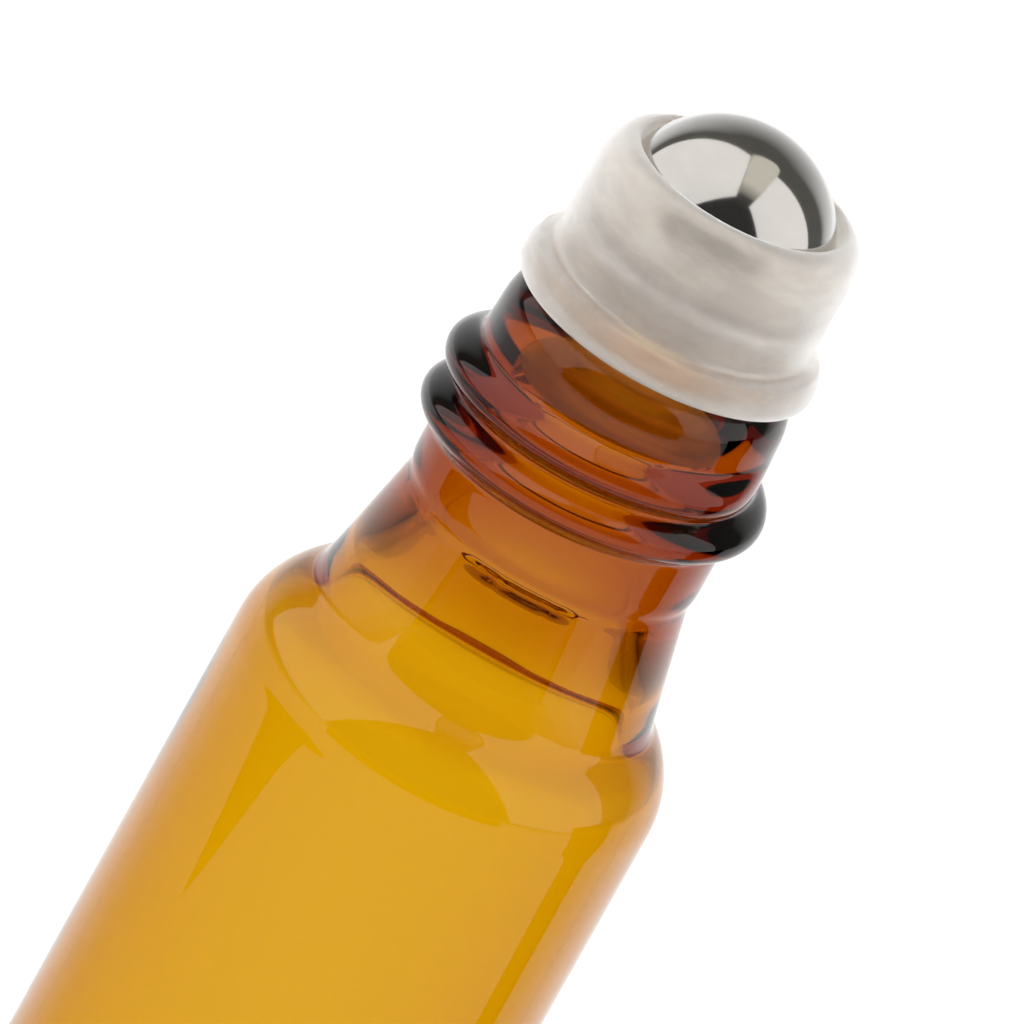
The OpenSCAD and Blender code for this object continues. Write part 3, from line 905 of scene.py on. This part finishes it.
def add_world(look):
    """A white sweep that fades as it rises behind the bottle, and a dark studio. The camera sees white."""
    world = bpy.data.worlds.new("Studio")
    bpy.context.scene.world = world
    world.use_nodes = True
    world.node_tree.nodes.clear()
    n = Nodes(world.node_tree)
    way = n.add("ShaderNodeTexCoord").outputs["Generated"]
    part = n.add("ShaderNodeSeparateXYZ", Vector=way).outputs
    level = n.maths("SQRT", n.maths("SUBTRACT", 1.0, n.maths("MULTIPLY", part["Z"], part["Z"])))
    behind = n.maths("DIVIDE", part["Y"], n.maths("MAXIMUM", level, 0.001))
    side = n.ranged(behind, *SWEEP_SIDES, high=look.sweep_side)
    top = n.ranged(behind, *SWEEP_BACK, side, look.sweep, smooth=True)
    above = n.maths("ADD", n.maths("ARCSINE", part["Z"]), SWEEP_BELOW)
    rise = n.maths("DIVIDE", above, n.maths("ADD", top, SWEEP_BELOW))
    dark = n.maths("POWER", n.maths("MINIMUM", n.maths("MAXIMUM", rise, 0.0), 1.0), SWEEP_POWER)
    rays = n.add("ShaderNodeLightPath").outputs
    dark = n.maths("MULTIPLY", dark, n.maths("SUBTRACT", 1.0, rays["Is Camera Ray"]))
    high = n.mixed(n.ranged(part["Y"], *STUDIO_FRONT), look.front, look.ceiling)
    beside = n.maths("SUBTRACT", 1.0, n.ranged(behind, look.dim_from, look.dim_to))
    low = n.mixed(n.maths("MULTIPLY", beside, rays["Is Glossy Ray"]), (1, 1, 1), [look.sweep_dim] * 3)
    studio = n.mixed(dark, low, high)
    seen = n.maths("MAXIMUM", rays["Is Glossy Ray"], rays["Is Transmission Ray"])
    seen = n.maths("MAXIMUM", rays["Is Camera Ray"], seen)
    seen = n.maths("MULTIPLY", seen, n.maths("LESS_THAN", rays["Diffuse Depth"], 0.5))
    soft = n.mixed(n.ranged(part["Y"], *FILL_FRONT), look.fill_front, look.fill)
    soft = n.mixed(n.ranged(part["Z"], *FILL_TOP), soft, look.fill_top)
    sky = n.add("ShaderNodeBackground", Color=n.mixed(seen, soft, studio), Strength=1.0)
    n.add("ShaderNodeOutputWorld", Surface=sky.outputs[0])


def add_panel(name, corner, across, along, wide, high, look):
    """A soft rectangular panel, from one corner along two directions, that lights the bottle's side of it."""
    across, along = Vector(across).normalized(), Vector(along).normalized()
    along = (along - along.dot(across) * across).normalized()
    data = bpy.data.lights.new(name, "AREA")
    data.shape = "RECTANGLE"
    data.size, data.size_y = wide, high
    data.energy = look.panel * math.pi * wide * high
    data.color = look.panel_tone
    lamp = bpy.data.objects.new(name, data)
    bpy.context.scene.collection.objects.link(lamp)
    lamp.location = Vector(corner) + across * wide / 2 + along * high / 2
    back = across.cross(along)
    if back.dot(lamp.location) < 0:
        across, back = -across, -back
    lamp.rotation_mode = "QUATERNION"
    lamp.rotation_quaternion = Matrix(np.array([across, along, back]).T.tolist()).to_quaternion()
    lamp.visible_camera = False


def add_card(name, corners, tone, fade=None):
    """A card that only gloss sees, by its corners in metres. It may fade to dark between two places in Y."""
    mesh = bpy.data.meshes.new(name)
    mesh.from_pydata(corners, [], [list(range(len(corners)))])
    card = new_object(name, mesh)
    material, n = new_material(name)
    strength = 1.0
    if fade:
        where = n.add("ShaderNodeSeparateXYZ", Vector=n.add("ShaderNodeTexCoord").outputs["Object"])
        strength = n.ranged(where.outputs["Y"], *fade, low=CARD_DARK)
    glow = n.add("ShaderNodeEmission", Color=(*tone, 1), Strength=strength)
    n.add("ShaderNodeOutputMaterial", Surface=glow.outputs[0])
    mesh.materials.append(material)
    card.visible_camera = False
    card.visible_diffuse = False
    card.visible_transmission = False
    card.visible_shadow = False


class ROLLON_OT_stage(bpy.types.Operator):
    """Sets the floor, the soft panels, the backdrop and the camera"""

    bl_idname = "roll_on.stage"
    bl_label = "Studio"

    def execute(self, context):
        look = context.scene.rollon_stage
        context.scene.view_settings.view_transform = "Standard"
        add_camera(look)
        add_floor(look)
        add_world(look)
        for name, corners in BLACK_CARDS.items():
            add_card(name, [(x * MM, y * MM, CARD_LIFT) for x, y in corners], (0, 0, 0))
        foot = [Vector((x * MM, y * MM, 0)) for x, y in GAP_CARD]
        high = Vector((0, 0, GAP_H))
        add_card("right_gap", [foot[0], foot[1], foot[1] + high, foot[0] + high], (0, 0, 0))
        way = look.panel_way
        lift = Vector((0, 0, LIP_Z))
        for name, (corner, across, along, wide, high) in PANELS.items():
            add_panel(name, Vector(corner) * way + lift, across, along, wide * way, high * way, look)
        ceiling = [(x * way, y * way, CEILING_CARD_Z * way + LIP_Z) for x, y in CEILING_CARD]
        add_card("ceiling_card", ceiling, look.card, [y * way for y in CARD_FADE])
        return {"FINISHED"}


class ROLLON_PT_panel(bpy.types.Panel):
    """Lists the makers of the bottle and their sizes"""

    bl_label = "Roll-on bottle"
    bl_idname = "ROLLON_PT_panel"
    bl_space_type = "VIEW_3D"
    bl_region_type = "UI"
    bl_category = "Roll-on"

    def draw(self, context):
        for kind, settings in MAKERS:
            box = self.layout.box()
            box.operator(kind)
            group = getattr(context.scene, settings)
            for name in group.__annotations__:
                box.prop(group, name)


SETTINGS = {
    "rollon_glass": GlassSizes,
    "rollon_housing": HousingSizes,
    "rollon_ball": BallLook,
    "rollon_stage": StageLook,
}
MAKERS = (
    ("roll_on.glass", "rollon_glass"),
    ("roll_on.housing", "rollon_housing"),
    ("roll_on.ball", "rollon_ball"),
    ("roll_on.stage", "rollon_stage"),
)
CLASSES = (
    GlassSizes,
    HousingSizes,
    BallLook,
    StageLook,
    ROLLON_OT_glass,
    ROLLON_OT_housing,
    ROLLON_OT_ball,
    ROLLON_OT_stage,
    ROLLON_PT_panel,
)


def register():
    """Adds the classes and the settings of each maker to Blender."""
    for kind in CLASSES:
        bpy.utils.register_class(kind)
    for name, kind in SETTINGS.items():
        setattr(bpy.types.Scene, name, bpy.props.PointerProperty(type=kind))


def unregister():
    """Takes them out again."""
    for name in SETTINGS:
        delattr(bpy.types.Scene, name)
    for kind in reversed(CLASSES):
        bpy.utils.unregister_class(kind)


def main():
    """Builds the studio and the three pieces."""
    register()
    bpy.ops.roll_on.stage()
    bpy.ops.roll_on.glass()
    bpy.ops.roll_on.housing()
    bpy.ops.roll_on.ball()


if __name__ == "__main__":
    main()
